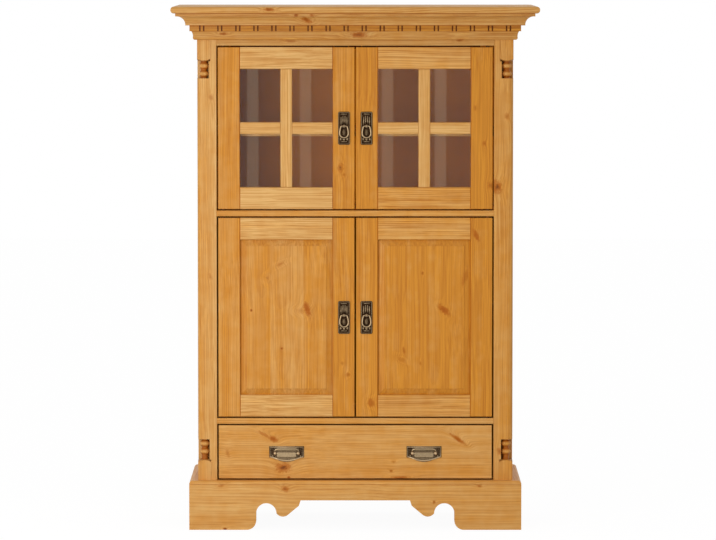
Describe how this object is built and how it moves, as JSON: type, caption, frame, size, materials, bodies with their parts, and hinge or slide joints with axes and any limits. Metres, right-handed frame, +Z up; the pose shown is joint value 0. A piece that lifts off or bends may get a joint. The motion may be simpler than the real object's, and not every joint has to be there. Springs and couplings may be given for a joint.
{
  "type": "highboard",
  "caption": "Solid pine highboard: glazed doors over panelled doors over a wide drawer, turned corner columns, moulded cornice and cut-out plinth.",
  "frame": {"origin": "on the floor, under the middle of the overall box", "axes": "+Z up, the doors face -Y, +X to the right as seen from the front"},
  "size_m": [1.01, 0.44, 1.445],
  "materials": {
    "oiled_pine": "oiled and waxed knotty pine",
    "back_board": "brown stained thin board",
    "glass": "clear float glass",
    "antique_bronze": "dark antiqued cast brass, rubbed bright on the edges",
    "steel": "browned and oiled",
    "catch_plastic": "brown moulded plastic"
  },
  "bodies": {
    "carcass": {"side_panel_left": "oiled_pine", "side_panel_right": "oiled_pine", "corner_post_left": "oiled_pine", "corner_post_right": "oiled_pine", "turned_column_left": "oiled_pine", "turned_column_right": "oiled_pine", "top_board": "oiled_pine", "middle_divider": "oiled_pine", "drawer_divider": "oiled_pine", "bottom_board": "oiled_pine", "back_panel": "back_board", "shelves": "oiled_pine", "shelf_pins": "steel", "header_frame": "oiled_pine", "bed_moulding": "oiled_pine", "dentil_strip": "oiled_pine", "crown_moulding": "oiled_pine", "cornice_cap": "oiled_pine", "plinth_front": "oiled_pine", "plinth_left": "oiled_pine", "plinth_right": "oiled_pine", "plinth_rear": "oiled_pine", "plinth_corner_blocks": "oiled_pine", "drawer_runners": "oiled_pine", "pivot_sockets": "steel", "door_catches": "catch_plastic"},
    "upper_door_left": {"upper_door_left_stiles": "oiled_pine", "upper_door_left_rails": "oiled_pine", "upper_door_left_muntins": "oiled_pine", "upper_door_left_glass": "glass", "upper_door_left_glazing_beads": "oiled_pine", "upper_door_left_fittings": "steel", "upper_door_left_pull_plate": "antique_bronze"},
    "upper_ring_left": {"upper_door_left_ring": "antique_bronze"},
    "upper_door_right": {"upper_door_right_stiles": "oiled_pine", "upper_door_right_rails": "oiled_pine", "upper_door_right_muntins": "oiled_pine", "upper_door_right_glass": "glass", "upper_door_right_glazing_beads": "oiled_pine", "upper_door_right_fittings": "steel", "upper_door_right_pull_plate": "antique_bronze"},
    "upper_ring_right": {"upper_door_right_ring": "antique_bronze"},
    "lower_door_left": {"lower_door_left_stiles": "oiled_pine", "lower_door_left_rails": "oiled_pine", "lower_door_left_panel": "oiled_pine", "lower_door_left_fittings": "steel", "lower_door_left_pull_plate": "antique_bronze"},
    "lower_ring_left": {"lower_door_left_ring": "antique_bronze"},
    "lower_door_right": {"lower_door_right_stiles": "oiled_pine", "lower_door_right_rails": "oiled_pine", "lower_door_right_panel": "oiled_pine", "lower_door_right_fittings": "steel", "lower_door_right_pull_plate": "antique_bronze"},
    "lower_ring_right": {"lower_door_right_ring": "antique_bronze"},
    "drawer": {"drawer_front": "oiled_pine", "drawer_sides_and_back": "oiled_pine", "drawer_bottom": "oiled_pine", "drawer_pull_plates": "antique_bronze"},
    "bail_left": {"bail_left": "antique_bronze"},
    "bail_right": {"bail_right": "antique_bronze"}
  },
  "joints": [
    {"name": "upper_door_left_swing", "type": "hinge", "parent": "carcass", "child": "upper_door_left", "pos_m": [-0.364, -0.144, 0.887], "axis": [0, 0, -1], "range_deg": [0, 110]},
    {"name": "upper_ring_left_lift", "type": "hinge", "parent": "upper_door_left", "child": "upper_ring_left", "pos_m": [-0.031, -0.1575, 1.116], "axis": [-1, 0, 0], "range_deg": [0, 100]},
    {"name": "upper_door_right_swing", "type": "hinge", "parent": "carcass", "child": "upper_door_right", "pos_m": [0.364, -0.144, 0.887], "axis": [0, 0, 1], "range_deg": [0, 110]},
    {"name": "upper_ring_right_lift", "type": "hinge", "parent": "upper_door_right", "child": "upper_ring_right", "pos_m": [0.031, -0.1575, 1.116], "axis": [-1, 0, 0], "range_deg": [0, 100]},
    {"name": "lower_door_left_swing", "type": "hinge", "parent": "carcass", "child": "lower_door_left", "pos_m": [-0.364, -0.144, 0.312], "axis": [0, 0, -1], "range_deg": [0, 110]},
    {"name": "lower_ring_left_lift", "type": "hinge", "parent": "lower_door_left", "child": "lower_ring_left", "pos_m": [-0.031, -0.1575, 0.5935], "axis": [-1, 0, 0], "range_deg": [0, 100]},
    {"name": "lower_door_right_swing", "type": "hinge", "parent": "carcass", "child": "lower_door_right", "pos_m": [0.364, -0.144, 0.312], "axis": [0, 0, 1], "range_deg": [0, 110]},
    {"name": "lower_ring_right_lift", "type": "hinge", "parent": "lower_door_right", "child": "lower_ring_right", "pos_m": [0.031, -0.1575, 0.5935], "axis": [-1, 0, 0], "range_deg": [0, 100]},
    {"name": "drawer_slide", "type": "slide", "parent": "carcass", "child": "drawer", "axis": [0, -1, 0], "range_m": [0, 0.22]},
    {"name": "bail_left_lift", "type": "hinge", "parent": "drawer", "child": "bail_left", "pos_m": [-0.19, -0.1575, 0.211], "axis": [-1, 0, 0], "range_deg": [0, 95]},
    {"name": "bail_right_lift", "type": "hinge", "parent": "drawer", "child": "bail_right", "pos_m": [0.19, -0.1575, 0.211], "axis": [-1, 0, 0], "range_deg": [0, 95]}
  ]
}
